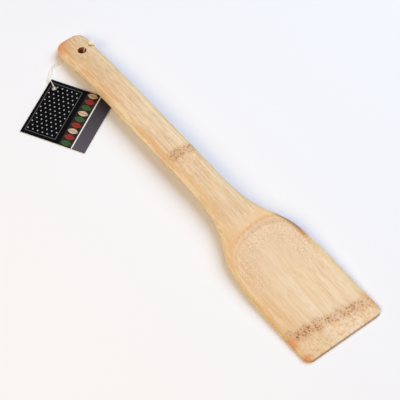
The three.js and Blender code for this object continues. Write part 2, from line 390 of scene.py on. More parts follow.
def scoop_depth(x, tip):
    """Depth of the scoop: a smooth ramp inside its rim, fading out towards the tip."""
    ramp = SCOOP_RAMP / min(SCOOP_ARCH_HEIGHT, SCOOP_HALF_WIDTH)
    inside = smooth_step((1 - scoop_place(x, tip)) / ramp)
    return SCOOP_DEPTH * inside * smooth_step(tip / SCOOP_FADE_LENGTH)


def body_stations():
    """Distances from the tip: close at both round ends, at the scoop and at the hole, and wide between."""
    quarter = np.linspace(0, np.pi / 2, TIP_STEPS)
    tip = TIP_CORNER_RADIUS * (1 - np.cos(quarter))[:-1]
    end_start = BODY_LENGTH - HANDLE_END_DEPTH
    low, high = HOLE_FROM_TIP - HOLE_PATCH, HOLE_FROM_TIP + HOLE_PATCH
    runs = [  # start, stop, steps
        (TIP_CORNER_RADIUS, SCOOP_ARCH_START, 48),
        (SCOOP_ARCH_START, SCOOP_ARCH_STOP, 78),
        (SCOOP_ARCH_STOP, FULL_THICKNESS_FROM_TIP, 34),
        (FULL_THICKNESS_FROM_TIP, low, 86),
        (low, high, 18),
        (high, end_start, 8),
    ]
    spans = [np.linspace(start, stop, count, endpoint=False) for start, stop, count in runs]
    end = end_start + HANDLE_END_DEPTH * np.sin(np.linspace(0, np.pi / 2, HANDLE_END_STEPS))
    return np.concatenate([tip, *spans, end])


def ring_layout():
    """For each point of a ring: share of the flat half width, shares of the corner radius outwards and
    inwards, and whether it is on top."""
    across = np.linspace(-1, 1, COLUMNS + 1)
    turn = np.linspace(0, np.pi / 2, CORNER_STEPS + 1)
    rise, drop = turn[1:], turn[:-1]
    flat = np.zeros(COLUMNS + 1)
    one = np.ones(CORNER_STEPS)
    share = np.concatenate([across, one, one, -across, -one, -one])
    out = np.concatenate([flat, np.sin(rise), np.cos(drop), flat, -np.sin(rise), -np.cos(drop)])
    corner = np.concatenate([flat, 1 - np.cos(rise), 1 - np.sin(drop)])
    inset = np.concatenate([corner, corner])
    top = np.concatenate([flat, 0 * one, one, flat + 1, one, 0 * one]) > 0
    return share, out, inset, top


def cap_faces(count):
    """Quads that close one end ring: its lower chain of points joined to its upper chain."""
    chain = COLUMNS + 1 + 2 * CORNER_STEPS
    low = (np.arange(chain) - CORNER_STEPS) % count
    high = (np.arange(chain) + COLUMNS + 1 + CORNER_STEPS)[::-1] % count
    return np.stack([low[:-1], low[1:], high[1:], high[:-1]], -1)


def hole_loop(first, last, left, right, ring, start):
    """Point numbers round a rectangle of the ring grid, anticlockwise from above."""
    up = np.arange(first, last)
    across = np.linspace(left, right, abs(right - left) + 1).astype(int)[:-1]
    stations = np.concatenate([up, np.full(len(across), last), up[::-1] + 1, np.full(len(across), first)])
    columns = np.concatenate([
        np.full(len(up), left), across, np.full(len(up), right), (left + right - across),
    ])
    return stations * ring + start + columns


def hole_rings(points, top_loop, low_loop):
    """Rings from the top patch's edge to the hole's rim, down its wall, and out to the bottom patch."""
    centre = HOLE_CENTRE[:2]
    away = points[top_loop, :2] - centre
    away /= np.linalg.norm(away, axis=1, keepdims=True)

    def circle(radius, drop, upper):
        plan = centre + away * radius
        tip = plan[:, 1] + BODY_LENGTH / 2
        low = underside(tip)
        z = low + full_thickness(tip) - drop if upper else low + drop
        return np.column_stack([plan, z])

    turn = np.linspace(0, np.pi / 2, HOLE_RIM_STEPS)
    radii = HOLE_RADIUS + HOLE_RIM * (1 - np.sin(turn))
    drops = HOLE_RIM * (1 - np.cos(turn))
    top = [circle(radius, drop, True) for radius, drop in zip(radii, drops)]
    low = [circle(radius, drop, False) for radius, drop in zip(radii, drops)][::-1]
    top_flat = [points[top_loop] * (1 - share) + top[0] * share for share in PATCH_SHARES]
    low_flat = [points[low_loop] * (1 - share) + low[-1] * share for share in PATCH_SHARES][::-1]
    wall = [top[-1] * (1 - share) + low[0] * share for share in WALL_SHARES]
    return [*top_flat, *top, *wall, *low, *low_flat]


def loop_faces(loops):
    """Quads between neighbouring loops of point numbers."""
    after = np.roll(loops, -1, axis=1)
    return np.stack([loops[:-1], after[:-1], after[1:], loops[1:]], -1).reshape(-1, 4)


def lath_values(points, edge):
    """What each point of the body carries for its finish: nearness to the side, place in the scoop, which is
    far from it underneath, and browning, which is a sum of bell curves and highest in the hole."""
    tip = points[:, 1] + BODY_LENGTH / 2
    above = points[:, 2] > underside(tip) + SCOOP_FROM_UNDERSIDE
    place = np.where(above, scoop_place(points[:, 0], tip), FAR_FROM_SCOOP)
    spots = np.array(SCORCH_SPOTS) - np.array([0, BODY_LENGTH / 2, 0, 0, 0])
    gaps = (points[:, None, :2] - spots[None, :, :2]) / spots[None, :, 2:4]
    scorch = np.clip((spots[:, 4] * np.exp(-(gaps**2).sum(2))).sum(1), 0, 1)
    in_hole = np.linalg.norm(points[:, :2] - HOLE_CENTRE[:2], axis=1) < HOLE_RADIUS + HOLE_MARGIN
    return np.stack([edge, place, np.where(in_hole, HOLE_SCORCH, scorch)], -1)


def spatula_mesh():
    """Points, faces and values of the body: one ring of points per station, bottom, right corner, top, left
    corner, with the hanging hole let into the rings."""
    tip = body_stations()
    share, out, inset, top = ring_layout()
    count = len(share)
    half = half_width(tip)
    draw = end_inset(tip)
    low = underside(tip) + draw
    high = underside(tip) + full_thickness(tip) - draw
    radius = np.minimum(np.minimum(EDGE_RADIUS, EDGE_OF_THICKNESS * (high - low)), EDGE_OF_HALF_WIDTH * half)
    x = share * (half - radius)[:, None] + out * radius[:, None]
    y = np.broadcast_to((tip - BODY_LENGTH / 2)[:, None], x.shape)
    z = np.where(top, high[:, None] - inset * radius[:, None], low[:, None] + inset * radius[:, None])
    z = z - np.where(top & (inset == 0), scoop_depth(x, tip[:, None]), 0)
    points = np.stack([x, y, z], -1).reshape(-1, 3)
    edge = smooth_step(1 - (half[:, None] - np.abs(x)) / EDGE_TINT_WIDTH)

    first = int(np.argmin(np.abs(tip - (HOLE_FROM_TIP - HOLE_PATCH))))
    last = int(np.argmin(np.abs(tip - (HOLE_FROM_TIP + HOLE_PATCH))))
    top_start = COLUMNS + 1 + 2 * CORNER_STEPS
    reach = float(np.interp(HOLE_FROM_TIP, tip, half - radius))
    patch = HOLE_FROM_MIDDLE + np.array([HOLE_PATCH, -HOLE_PATCH])
    near_column, far_column = np.rint((1 - patch / reach) / 2 * COLUMNS).astype(int).tolist()
    top_loop = hole_loop(first, last, near_column, far_column, count, top_start)
    low_loop = hole_loop(first, last, COLUMNS - near_column, COLUMNS - far_column, count, 0)
    rings = hole_rings(points, top_loop, low_loop)

    sides = ring_faces(len(tip), count)
    row, column = sides[:, 0] // count, sides[:, 0] % count
    in_rows = (row >= first) & (row < last)
    over = (column >= top_start + near_column) & (column < top_start + far_column)
    under = (column >= COLUMNS - far_column) & (column < COLUMNS - near_column)
    sides = sides[~(in_rows & (over | under))]
    tip_cap = cap_faces(count)
    end_cap = tip_cap[:, ::-1] + (len(tip) - 1) * count
    around = len(top_loop)
    inner = len(points) + np.arange(around * len(rings)).reshape(-1, around)
    hole = loop_faces(np.concatenate([[top_loop], inner, [low_loop]]))

    points = np.concatenate([points, *rings])
    edge = np.concatenate([edge.ravel(), np.zeros(around * len(rings))])
    faces = np.concatenate([sides, tip_cap, end_cap, hole])
    used, faces = np.unique(faces, return_inverse=True)
    return points[used], faces.reshape(-1, 4).tolist(), lath_values(points, edge)[used]


# Noises in the bamboo: changes per millimetre across, along and through the lath, detail, roughness

WANDER = ((0.03, 0.02, 0.0), 2.0, 0.5)
TONE = ((0.13, 0.012, 0.1), 2.0, 0.5)
HUE = ((0.1, 0.03, 0.1), 2.0, 0.5)
STREAKS = ((0.62, 0.022, 0.62), 3.0, 0.65)
FIBRES = ((1.5, 0.06, 1.5), 2.0, 0.6)
WOBBLE = ((0.12, 0.015, 0.0), 2.0, 0.5)
CLUMPS = ((0.28, 0.2, 0.3), 2.0, 0.5)
GRIT = ((0.55, 0.4, 0.5), 3.0, 0.6)

# Scattered points in the bamboo, per millimetre in the same directions; for the scoop's dots the third
# number is per unit of their place in the scoop. Sizes are shares of their spacing, from outside in.
DASHES = (0.8, 0.1, 0.8)
DASH_SIZE = (0.42, 0.12)
SPECKS = (0.8, 0.62, 0.8)
SPECK_SIZE = (0.6, 0.22)
SCOOP_DOTS = (0.72, 0.72, 21.0)
SCOOP_DOT_SIZE = (0.55, 0.15)

# Long grain: tints by tone, hue, share of the half width (painted shade and light), streak and fibre
PALE_WOOD = srgb(246, 223, 193)
TAN_WOOD = (srgb(240, 208, 166), 1.0, (0.3, 0.7))
GREENISH_WOOD = (srgb(228, 208, 156), 0.5, (0.52, 0.72))
ROSY_WOOD = (srgb(240, 196, 146), 0.5, (0.46, 0.28))
LEFT_PAINTED_SHADE = (srgb(226, 176, 116), 0.55, (0.1, -0.9))
RIGHT_PAINTED_LIGHT = (srgb(248, 230, 202), 1.0, (0.0, 0.8))
STREAK_DARK = (srgb(212, 180, 140), 0.6, (0.46, 0.7))
FIBRE_DARK = (srgb(206, 172, 132), 0.6, (0.48, 0.7))
GRAIN_LIGHT = (srgb(252, 226, 192), 0.4, (0.46, 0.28))
SHADED_WOOD = srgb(214, 174, 126)
DASH_DARK = srgb(190, 154, 112)
WANDER_REACH = 1.6
HUE_SHIFT = 400.0
DASH_CHANCE = (0.5, 0.7)
DASH_STRENGTH = 0.5
STREAK_RELIEF = 0.35
FIBRE_RELIEF = 0.5
DASH_RELIEF = 0.5

# Changes along the lath: from and to, millimetres from the tip, and how much
ONTO_HANDLE = (110.0, 170.0)
FINEST_GRAIN = 0.6
COARSER_GRAIN = [((90.0, 150.0), 0.4), ((200.0, 270.0), 0.4)]
SHADING = [
    ((94.0, 114.0), 0.42), ((122.0, 140.0), -0.2), ((138.0, 150.0), 0.22), ((164.0, 174.0), -0.22),
    ((190.0, 275.0), 0.3),
]

# Strengths on the blade and on the handle
RIGHT_STRENGTH = (0.15, 0.4)
LEFT_SHADE_STRENGTH = (0.36, 0.62)

# Nodes: tints by grit and clump, reaches in millimetres from the node's line
NODE_BROWN = srgb(208, 154, 102)
NODE_HALO = (NODE_BROWN, 0.2, (0.35, 0.65))
NODE_ORANGE = (srgb(226, 148, 92), 0.3, (0.5, 0.62))
NODE_SPECK = (srgb(138, 92, 58), 1.0, (0.26, 0.5))
MOTTLE_DARK = (srgb(214, 158, 108), 0.6, (0.5, 0.66))
MOTTLE_LIGHT = (srgb(250, 226, 186), 0.4, (0.5, 0.36))
WOBBLE_REACH = 9.0
HANDLE_NODE_WOBBLE = 0.6
HANDLE_NODE_SLANT = 0.125
BLADE_NODE_SLANT = 0.15
NODE_BAND = (6.5, 0.5)
HANDLE_NODE_HALO = (11.0, 2.0)
BLADE_NODE_HALO = (12.0, 2.0)
DENSER_LEFT = (5.0, -20.0)
BAND_LEAST, BAND_IN_CLUMPS, BAND_ON_LEFT = 0.12, 0.5, 0.15
SPECK_LEAST, SPECK_ON_LEFT = 0.7, 0.25
BELOW_NODE = (0.0, -4.0)
FAR_BELOW_NODE = (-40.0, -8.0)
MOTTLED_BELOW_NODE = 0.55
MOTTLED_TIP = (14.0, 8.0)
MOTTLED_AT_TIP = 0.9

# Scoop: tints by distance from the tip, other spans by place in the scoop or across the blade
SCOOP_WOOD = (srgb(235, 204, 171), 0.5, (40.0, 80.0))
SCOOP_SURROUND = (srgb(236, 186, 124), 0.4, (56.0, 72.0))
SCOOP_SLOPE_LIGHT = (srgb(250, 208, 158), 0.6, (25.0, 50.0))
SCOOP_RIM = (srgb(226, 158, 98), 1.0, (82.0, 98.0))
SCOOP_DOT = srgb(198, 152, 112)
SCOOP_INSIDE = (1.04, 0.97)
DOTTED_PART = (0.25, 0.7)
DOTS_FROM_TIP = (46.0, 66.0)
SCOOP_DOT_STRENGTH = 0.52
SURROUND_NEAR = (1.0, 1.08)
SURROUND_FAR = (1.5, 1.1)
RIM_PLACE = 1.05
RIM_REACH = (0.09, 0.0)
RIM_ACROSS = (-20.0, -11.0)
RIM_CONTRAST, RIM_GAPS = 2.4, 0.7
SLOPE_PLACE = 0.95
SLOPE_REACH = (0.09, 0.02)
SLOPE_ACROSS = (-5.0, -15.0)

# Edges, painted light and shade: tints by distance from the tip, nearness to the side and streak
LEFT_BLADE_SIDE = srgb(232, 206, 152)
LEFT_HANDLE_SIDE = (srgb(254, 236, 202), 1.0, (45.0, 110.0))
RIGHT_EDGE = srgb(190, 182, 130)
RIGHT_SIDE = (srgb(240, 202, 152), 1.0, (0.8, 1.0))
LEFT_SHADE_STREAK = (srgb(224, 166, 100), 1.0, (0.45, 0.6))
LEFT_HALF = (2.0, -2.0)
LEFT_RIM_PALES = (110.0, 160.0)
EDGE_LEAST, EDGE_IN_CLUMPS, EDGE_RIM_HIGHLIGHT = 0.22, 0.7, 0.25
LEFT_SHADE_ACROSS = (-0.45, -0.8)
LEFT_SHADE_FROM_TIP = (20.0, 40.0)

# Browned places, and painted shade at both ends: tints by distance from the bruise, browning and distance
# from the tip
SHOULDER_BRUISE = (srgb(146, 104, 80), 0.75, (16.0, 5.0))
SCORCHED = (srgb(218, 140, 80), 1.0, (0.0, 1.0))
TIP_FACE = (srgb(150, 110, 100), 0.4, (0.7, 0.2))
HANDLE_END_FACE = (srgb(186, 148, 132), 0.45, (BODY_LENGTH - 2.2, BODY_LENGTH - 1.0))
HOLE_WALL = (srgb(168, 112, 66), 1.0, (1.1, 1.9))
BRUISE_FROM_TIP = 83.0
BRUISE_EDGE = (0.08, 0.6)
BRUISE_ACROSS = (12.0, 20.0)
SCORCH_LEAST, SCORCH_IN_GRIT = 0.5, 0.8

PIT_RELIEF = 0.6


class Lath:
    """Where a point lies on the body, with the two noises that several layers of its finish share."""

    def __init__(self, bamboo):
        self.place = bamboo.place()
        self.x, self.y, self.z = self.place
        self.edge, self.scoop, self.scorch = bamboo.attribute("lath")
        self.tip = self.y + BODY_LENGTH / 2
        narrowing = self.tip.step(SHOULDER_FROM_TIP, NECK_FROM_TIP) * ((BLADE_WIDTH - NECK_WIDTH) / 2)
        self.share = self.x / (BLADE_WIDTH / 2 - narrowing)
        self.on_handle = self.tip.step(*ONTO_HANDLE)
        self.clump = bamboo.noise(self.place, *CLUMPS)
        self.grit = bamboo.noise(self.place, *GRIT)

    def along(self, changes):
        """A value that changes along the body: the sum of smooth changes, each with its span and its size."""
        return sum(self.tip.step(*span) * size for span, size in changes)

    def blade_to_handle(self, blade, handle):
        """A value that goes over from the blade's to the handle's."""
        return self.on_handle * (handle - blade) + blade


def grain_layer(bamboo, at):
    """Long grain, from noises drawn out along the body: slow changes of tone and hue, streaks, fine fibres
    and short dashes, with a shade that changes along the body, and across it painted shade towards the left
    edge and painted light towards the right."""
    across = at.x + bamboo.noise(at.place, *WANDER) * WANDER_REACH
    grain = (across, at.y, at.z)
    tone = bamboo.noise(grain, *TONE)
    hue = bamboo.noise((across + HUE_SHIFT, at.y, at.z), *HUE)
    streak = bamboo.noise(grain, *STREAKS)
    fibre = bamboo.noise(grain, *FIBRES)
    chance = bamboo.parts(bamboo.cells(grain, DASHES, "Color"))[0]
    dash = bamboo.cells(grain, DASHES).step(*DASH_SIZE) * chance.step(*DASH_CHANCE)
    coarse = at.along(COARSER_GRAIN) + FINEST_GRAIN

    colour = bamboo.tint(PALE_WOOD, tone, TAN_WOOD)
    colour = bamboo.tint(colour, hue, GREENISH_WOOD)
    colour = bamboo.tint(colour, hue, ROSY_WOOD)
    colour = bamboo.mix(at.along(SHADING), colour, SHADED_WOOD)
    # Painted shade and light across the top: more orange towards the left edge, paler towards the right
    colour = bamboo.tint(colour, at.share, LEFT_PAINTED_SHADE)
    colour = bamboo.tint(colour, at.share, RIGHT_PAINTED_LIGHT, at.blade_to_handle(*RIGHT_STRENGTH))
    colour = bamboo.tint(colour, streak, STREAK_DARK, coarse)
    colour = bamboo.tint(colour, streak, GRAIN_LIGHT, coarse)
    colour = bamboo.tint(colour, fibre, FIBRE_DARK, coarse)
    colour = bamboo.tint(colour, fibre, GRAIN_LIGHT, coarse)
    colour = bamboo.mix(coarse * dash * DASH_STRENGTH, colour, DASH_DARK)
    return colour, streak, streak * STREAK_RELIEF + fibre * FIBRE_RELIEF - dash * DASH_RELIEF


def node_layer(bamboo, at, colour):
    """Node bands: distance from a wavering line across the handle and another across the blade, brown near
    it, with specks at scattered points. The wood below the handle's node and at the tip is mottled."""
    wobble = bamboo.noise(at.place, *WOBBLE) * WOBBLE_REACH - WOBBLE_REACH / 2
    handle_node = at.tip - HANDLE_NODE + at.x * HANDLE_NODE_SLANT + wobble * HANDLE_NODE_WOBBLE
    blade_node = at.tip - BLADE_NODE + at.x * BLADE_NODE_SLANT + wobble
    band = abs(handle_node).step(*NODE_BAND) + abs(blade_node).step(*NODE_BAND)
    halo = abs(handle_node).step(*HANDLE_NODE_HALO) + abs(blade_node).step(*BLADE_NODE_HALO)
    pits = band * bamboo.cells(at.place, SPECKS).step(*SPECK_SIZE)
    denser = at.x.step(*DENSER_LEFT)
    colour = bamboo.tint(colour, at.grit, NODE_HALO, halo)
    brown = at.clump * BAND_IN_CLUMPS + denser * BAND_ON_LEFT + BAND_LEAST
    colour = bamboo.mix(band * brown, colour, NODE_BROWN)
    colour = bamboo.tint(colour, at.clump, NODE_ORANGE, band)
    colour = bamboo.tint(colour, at.clump, NODE_SPECK, pits * (denser * SPECK_ON_LEFT + SPECK_LEAST))

    below = handle_node.step(*BELOW_NODE) * handle_node.step(*FAR_BELOW_NODE)
    mottled = below * MOTTLED_BELOW_NODE + at.tip.step(*MOTTLED_TIP) * MOTTLED_AT_TIP
    colour = bamboo.tint(colour, at.grit, MOTTLE_DARK, mottled)
    colour = bamboo.tint(colour, at.grit, MOTTLE_LIGHT, mottled)
    return colour, pits


def scoop_layer(bamboo, at, colour):
    """Scoop, by the place in it that the mesh carries: paler inside, end grain as dots at scattered points
    near the rim, warmer wood round it, a broken orange line just outside its arch, and painted light on the
    slope on the left."""
    inside = at.scoop.step(*SCOOP_INSIDE)
    dotted = inside * at.scoop.step(*DOTTED_PART) * at.tip.step(*DOTS_FROM_TIP)
    pits = dotted * bamboo.cells((at.x, at.y, at.scoop), SCOOP_DOTS).step(*SCOOP_DOT_SIZE)
    colour = bamboo.tint(colour, at.tip, SCOOP_WOOD, inside)
    colour = bamboo.mix(pits * SCOOP_DOT_STRENGTH, colour, SCOOP_DOT)
    around = at.scoop.step(*SURROUND_NEAR) * at.scoop.step(*SURROUND_FAR)
    colour = bamboo.tint(colour, at.tip, SCOOP_SURROUND, around)
    rim = abs(at.scoop - RIM_PLACE).step(*RIM_REACH) * at.x.step(*RIM_ACROSS)
    colour = bamboo.tint(colour, at.tip, SCOOP_RIM, rim * (at.grit * RIM_CONTRAST - RIM_GAPS))
    # Painted light: the scoop's left slope made paler against the shade it gets
    slope = abs(at.scoop - SLOPE_PLACE).step(*SLOPE_REACH) * at.x.step(*SLOPE_ACROSS)
    return bamboo.tint(colour, at.tip, SCOOP_SLOPE_LIGHT, slope), pits


def edge_layer(bamboo, at, streak, colour):
    """Edges and sides, by the nearness to the side that the mesh carries, painted light and shade: one tint
    on the left and another on the right, a painted highlight along the handle's left rim, and the grain's
    streaks beside the left edge tinted orange as painted shade."""
    left = at.x.step(*LEFT_HALF)
    # Painted light and shade: the sides take different tints, yellower on the blade's left, paler on the
    # handle's left, an olive rim and a warmer face on the right
    left_side = bamboo.tint(LEFT_BLADE_SIDE, at.tip, LEFT_HANDLE_SIDE)
    right_side = bamboo.tint(RIGHT_EDGE, at.edge, RIGHT_SIDE)
    side = bamboo.mix(left, right_side, left_side)
    # Painted highlight: paler along the handle's left rim
    painted_rim_highlight = left * at.tip.step(*LEFT_RIM_PALES)
    tinted = at.clump * EDGE_IN_CLUMPS + painted_rim_highlight * EDGE_RIM_HIGHLIGHT + EDGE_LEAST
    colour = bamboo.mix(at.edge * tinted, colour, side)
    # Painted shade: the grain's streaks beside the left edge tinted orange
    left_shade = at.share.step(*LEFT_SHADE_ACROSS) * at.tip.step(*LEFT_SHADE_FROM_TIP)
    return bamboo.tint(colour, streak, LEFT_SHADE_STREAK, left_shade * at.blade_to_handle(*LEFT_SHADE_STRENGTH))


def browning_and_end_shade_layer(bamboo, at, colour):
    """Browned places: the right shoulder's edge, the spots that the mesh carries and the hole; the tip's face
    darker as end grain and painted shade, and painted shade round the handle's end.
    """
    bruise = at.edge.step(*BRUISE_EDGE) * at.x.step(*BRUISE_ACROSS)
    colour = bamboo.tint(colour, abs(at.tip - BRUISE_FROM_TIP), SHOULDER_BRUISE, bruise)
    colour = bamboo.tint(colour, at.scorch, SCORCHED, at.grit * SCORCH_IN_GRIT + SCORCH_LEAST)
    # The tip's face: darker end grain, and painted shade
    colour = bamboo.tint(colour, at.tip, TIP_FACE)
    # Painted shade round the handle's rounded end
    colour = bamboo.tint(colour, at.tip, HANDLE_END_FACE)
    return bamboo.tint(colour, at.scorch, HOLE_WALL)


def bamboo_finish():
    """Sanded bamboo: each layer is mixed over the one before, and specks and dots are small pits."""
    bamboo = Finish("sanded_bamboo")
    at = Lath(bamboo)
    colour, streak, relief = grain_layer(bamboo, at)
    colour, node_pits = node_layer(bamboo, at, colour)
    colour, scoop_pits = scoop_layer(bamboo, at, colour)
    colour = edge_layer(bamboo, at, streak, colour)
    colour = browning_and_end_shade_layer(bamboo, at, colour)
    relief = relief - node_pits * PIT_RELIEF - scoop_pits * PIT_RELIEF
    return bamboo.surface(
        Base_Color=colour,
        Roughness=0.5 + streak * 0.2,
        Normal=bamboo.bump(relief, strength=0.3, distance=0.0002),
        Specular_IOR_Level=0.25,
    )


# String, from the knot down the hanging hole, out to the tag, and back under the handle to the knot

STRING_DIAMETER = 0.6
STRING_SPACING = 0.15
STRING_SIDES = 18
STRING_PLIES = 3
STRING_PITCH = 2.4
STRING_ROUTE = HOLE_CENTRE + np.array([
    (6.45, 1.2, 9.5), (5.2, 0.95, 9.15), (3.8, 0.6, 9.08), (2.6, 0.3, 8.85),
    (1.9, 0.1, 8), (1.6, 0, 6.4), (0.9, -0.1, 3.2), (-0.4, 0, 1.45),
    (-2.4, 0.6, 0.62), (-5.9, 2.2, 0.45), (-9.4, 4, 0.42), (-12.9, 5.3, 0.42),
    (-17.9, 5.7, 0.42), (-21.9, 4.5, 0.42), (-24.6, 2.3, 0.42), (-27.4, -0.7, 0.75),
    (-29, -2.6, 1.75), (-30, -4.4, 2.12), (-30.7, -7.6, 2.05), (-31.15, -9.7, 1.95),
    (-31.4, -10.7, 1.2), (-31.8, -11.3, 0.6), (-32.6, -11.1, 0.42), (-33.4, -9.5, 0.42),
    (-33, -6, 0.42), (-31, -1.8, 0.42), (-27.6, 2, 0.42), (-23.4, 5.3, 0.42),
    (-18.4, 7.1, 0.42), (-12.9, 6.8, 0.42), (-8.9, 5.6, 0.42), (-1.4, 3.9, 0.42),
    (4.6, 3, 0.45), (8.4, 2.6, 0.75), (10.45, 2.3, 2.4), (10.75, 2, 4.5),
    (10.65, 1.8, 6.8), (10.55, 1.6, 8.45),
])

# Direction from which the yarn's twist is counted; the yarn must not run along it
TWIST_FROM = np.array([0.0, 0.75, -0.66])

STRING_INTO_KNOT = 0.6
PLY_GROOVE = 0.2
PLY_ROUNDNESS = 0.7
CURVE_STEPS = 40

KNOT_CENTRE = HOLE_CENTRE + np.array([9, 1.4, 9.8])
KNOT_SHIFT = np.array([0, -0.6, 0])
KNOT_RING = 1.0
KNOT_LOBE = 0.5
KNOT_STRETCH = np.array([-1.15, -1.4, 0.4])
KNOT_YARN_RADIUS = 0.72
KNOT_STEPS = 240
KNOT_SIDES = 16
KNOT_TWISTS = 7

# Cotton: its noise as for the bamboo, tints by height on the ply (painted shade in the grooves) and by the
# noise
HAIRS = ((6.0, 6.0, 6.0), 3.0, 0.5)
COTTON_GROOVE_SHADE = srgb(222, 208, 182)
COTTON_PLY = (srgb(250, 244, 230), 1.0, (0.0, 0.7))
COTTON_FUZZ = (srgb(234, 222, 198), 0.25, (0.4, 0.8))


def curve_points(route, spacing):
    """Centripetal curve through the route, at even spacing: Hermite spans whose slopes come from the square
    roots of the gaps between the points."""
    padded = np.concatenate([2 * route[:1] - route[1:2], route, 2 * route[-1:] - route[-2:-1]])
    knots = np.concatenate([[0], np.cumsum(np.sqrt(np.linalg.norm(np.diff(padded, axis=0), axis=1)))])
    before, here, after = padded[:-2], padded[1:-1], padded[2:]
    first = np.diff(knots)[:-1, None]
    second = np.diff(knots)[1:, None]
    slope = (here - before) / first - (after - before) / (first + second) + (after - here) / second
    t = np.linspace(0, 1, CURVE_STEPS, endpoint=False)[None, :, None]
    step = second[:-1][:, None]
    start, stop = route[:-1, None], route[1:, None]
    spans = (
        start * (1 + 2 * t) * (1 - t) ** 2
        + stop * t * t * (3 - 2 * t)
        + slope[:-1, None] * step * t * (1 - t) ** 2
        + slope[1:, None] * step * t * t * (t - 1)
    ).reshape(-1, 3)
    fine = np.concatenate([spans, route[-1:]])
    length = np.concatenate([[0], np.cumsum(np.linalg.norm(np.diff(fine, axis=0), axis=1))])
    even = np.linspace(0, length[-1], int(length[-1] / spacing) + 1)
    return np.column_stack([np.interp(even, length, fine[:, axis]) for axis in range(3)]), even


def twisted_tube(path, along, radius, plies, pitch, sides, closed=False):
    """Plied yarn: a circle with rounded lobes that turn once per pitch along the path. Each point carries its
    height on the lobe, from 0 in the groove to 1 on the ply."""
    if closed:
        tangent = np.roll(path, -1, axis=0) - np.roll(path, 1, axis=0)
    else:
        tangent = np.gradient(path, axis=0)
    tangent /= np.linalg.norm(tangent, axis=1, keepdims=True)
    normal = TWIST_FROM - tangent * (tangent @ TWIST_FROM)[:, None]
    normal /= np.linalg.norm(normal, axis=1, keepdims=True)
    other = np.cross(tangent, normal)
    turn = np.linspace(0, 2 * np.pi, sides, endpoint=False)[None, :]
    lobe = plies / 2 * (turn - 2 * np.pi * along[:, None] / pitch)
    reach = radius * (1 - PLY_GROOVE + PLY_GROOVE * np.abs(np.cos(lobe)) ** PLY_ROUNDNESS)
    spokes = np.cos(turn)[..., None] * normal[:, None] + np.sin(turn)[..., None] * other[:, None]
    points = path[:, None] + reach[..., None] * spokes
    values = np.repeat(np.abs(np.cos(lobe)).reshape(-1, 1), 3, axis=1)
    return points.reshape(-1, 3), values


def cotton_finish():
    """Undyed cotton yarn: painted shade in the grooves between the plies, with noise for its fine hairs."""
    cotton = Finish("undyed_cotton")
    lobe = cotton.attribute("yarn")[0]
    fuzz = cotton.noise(cotton.place(), *HAIRS)
    # Painted shade: darker in the grooves between the plies
    colour = cotton.tint(COTTON_GROOVE_SHADE, lobe, COTTON_PLY)
    colour = cotton.tint(colour, fuzz, COTTON_FUZZ)
    return cotton.surface(
        Base_Color=colour,
        Roughness=0.9,
        Normal=cotton.bump(fuzz, strength=0.3, distance=0.0001),
        Sheen_Weight=0.25,
    )


def add_string(cotton):
    """Plied yarn along the route, with both ends carried on into the knot and closed by fans of triangles."""
    into_knot = STRING_ROUTE[[0, -1]] * (1 - STRING_INTO_KNOT) + KNOT_CENTRE * STRING_INTO_KNOT
    route = np.concatenate([into_knot[:1], STRING_ROUTE, into_knot[1:]])
    path, along = curve_points(route, STRING_SPACING)
    points, values = twisted_tube(
        path, along, STRING_DIAMETER / 2, STRING_PLIES, STRING_PITCH, STRING_SIDES
    )
    faces = ring_faces(len(path), STRING_SIDES)[:, ::-1]
    first = np.arange(STRING_SIDES)
    last = first + (len(path) - 1) * STRING_SIDES
    middles = np.array([path[0], path[-1]])
    points = np.concatenate([points, middles])
    values = np.concatenate([values, np.zeros((2, 3))])
    start, stop = len(points) - 2, len(points) - 1
    fans = np.concatenate([
        np.stack([np.full_like(first, start), np.roll(first, -1), first], -1),
        np.stack([np.full_like(last, stop), last, np.roll(last, -1)], -1),
    ])
    faces = [*faces.tolist(), *fans.tolist()]
    piece = add_piece(
        "plied_string", points, faces, cotton, "spatula", "tag_string", "string", yarn=values
    )
    return piece, path, along[-1]


def add_knot(cotton):
    """Trefoil of thicker yarn, pressed flat: a ring whose radius and height swing three times in two
    turns."""
    turn = np.linspace(0, 2 * np.pi, KNOT_STEPS, endpoint=False)
    ring = KNOT_RING + KNOT_LOBE * np.cos(3 * turn)
    path = np.column_stack([ring * np.cos(2 * turn), ring * np.sin(2 * turn), np.sin(3 * turn)])
    path = path * KNOT_STRETCH + KNOT_CENTRE + KNOT_SHIFT
    along = np.arange(KNOT_STEPS) * (STRING_PITCH * KNOT_TWISTS / KNOT_STEPS)
    points, values = twisted_tube(
        path, along, KNOT_YARN_RADIUS, STRING_PLIES, STRING_PITCH, KNOT_SIDES, closed=True
    )
    faces = ring_faces(KNOT_STEPS, KNOT_SIDES, closed=True)[:, ::-1].tolist()
    return add_piece("edge_knot", points, faces, cotton, "spatula", "string_knot", "string", yarn=values)


# Hang tag

TAG_WIDTH = 48.0
TAG_HEIGHT = 48.0
TAG_THICKNESS = 0.6
TAG_HOLE_RADIUS = 1.8
TAG_HOLE_FROM_LEFT = 5.2
TAG_HOLE_FROM_TOP = 6.2
TAG_HOLE_PLACE = HOLE_CENTRE + np.array([-31.6, -11, 0.9])
TAG_TURN = math.radians(-60.4)
TAG_LOW_EDGE = 0.05
TAG_SIDE_STEPS = 40
TAG_RING_SHARES = (0, 0.02, 0.3, 0.6, 0.85, 1.0)

